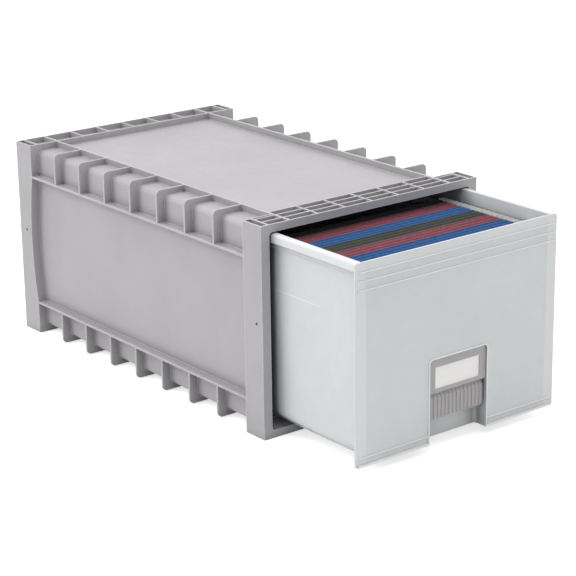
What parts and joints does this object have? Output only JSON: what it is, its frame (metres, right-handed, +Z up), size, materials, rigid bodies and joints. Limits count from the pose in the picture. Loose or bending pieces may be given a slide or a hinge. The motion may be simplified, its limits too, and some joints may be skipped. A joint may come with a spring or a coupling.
{
  "type": "hanging file drawer box",
  "caption": "Stackable plastic file box: ribbed grey housing with a translucent pull-out drawer that holds letter-size hanging folders on moulded rails.",
  "frame": {"origin": "on the surface it stands on, under the middle of the box round the whole thing with its drawer open 173 mm", "axes": "+X is the width to the right seen from the front, +Y runs from the drawer's front to the back, +Z is up"},
  "size_m": [0.384, 0.7902, 0.3],
  "materials": {
    "housing_plastic": "moulded warm grey polypropylene, fine satin texture",
    "drawer_plastic": "moulded natural polypropylene, cloudy and slightly translucent, satin",
    "insert_plastic": "moulded mid grey polypropylene, satin",
    "card": "blank white card, matt",
    "hanger_bar": "coated steel strip with pale hook ends",
    "folder_blue": "coloured pressboard paper, matt, fine fibre",
    "folder_maroon": "coloured pressboard paper, matt, fine fibre",
    "folder_olive": "coloured pressboard paper, matt, fine fibre",
    "folder_black": "coloured pressboard paper, matt, fine fibre"
  },
  "bodies": {
    "housing": {"housing": "housing_plastic"},
    "drawer": {"drawer": "drawer_plastic", "pull_handle": "insert_plastic", "label_card": "card", "folder_01": "folder_blue", "folder_01_front_bar": "hanger_bar", "folder_01_rear_bar": "hanger_bar", "folder_02": "folder_blue", "folder_02_front_bar": "hanger_bar", "folder_02_rear_bar": "hanger_bar", "folder_03": "folder_blue", "folder_03_front_bar": "hanger_bar", "folder_03_rear_bar": "hanger_bar", "folder_04": "folder_blue", "folder_04_front_bar": "hanger_bar", "folder_04_rear_bar": "hanger_bar", "folder_05": "folder_maroon", "folder_05_front_bar": "hanger_bar", "folder_05_rear_bar": "hanger_bar", "folder_06": "folder_maroon", "folder_06_front_bar": "hanger_bar", "folder_06_rear_bar": "hanger_bar", "folder_07": "folder_maroon", "folder_07_front_bar": "hanger_bar", "folder_07_rear_bar": "hanger_bar", "folder_08": "folder_olive", "folder_08_front_bar": "hanger_bar", "folder_08_rear_bar": "hanger_bar", "folder_09": "folder_olive", "folder_09_front_bar": "hanger_bar", "folder_09_rear_bar": "hanger_bar", "folder_10": "folder_olive", "folder_10_front_bar": "hanger_bar", "folder_10_rear_bar": "hanger_bar", "folder_11": "folder_blue", "folder_11_front_bar": "hanger_bar", "folder_11_rear_bar": "hanger_bar", "folder_12": "folder_blue", "folder_12_front_bar": "hanger_bar", "folder_12_rear_bar": "hanger_bar", "folder_13": "folder_blue", "folder_13_front_bar": "hanger_bar", "folder_13_rear_bar": "hanger_bar", "folder_14": "folder_maroon", "folder_14_front_bar": "hanger_bar", "folder_14_rear_bar": "hanger_bar", "folder_15": "folder_maroon", "folder_15_front_bar": "hanger_bar", "folder_15_rear_bar": "hanger_bar", "folder_16": "folder_maroon", "folder_16_front_bar": "hanger_bar", "folder_16_rear_bar": "hanger_bar", "folder_17": "folder_black", "folder_17_front_bar": "hanger_bar", "folder_17_rear_bar": "hanger_bar", "folder_18": "folder_black", "folder_18_front_bar": "hanger_bar", "folder_18_rear_bar": "hanger_bar"}
  },
  "joints": [
    {"name": "drawer_slide", "type": "slide", "parent": "housing", "child": "drawer", "axis": [0, -1, 0], "range_m": [-0.173, 0.297]}
  ]
}
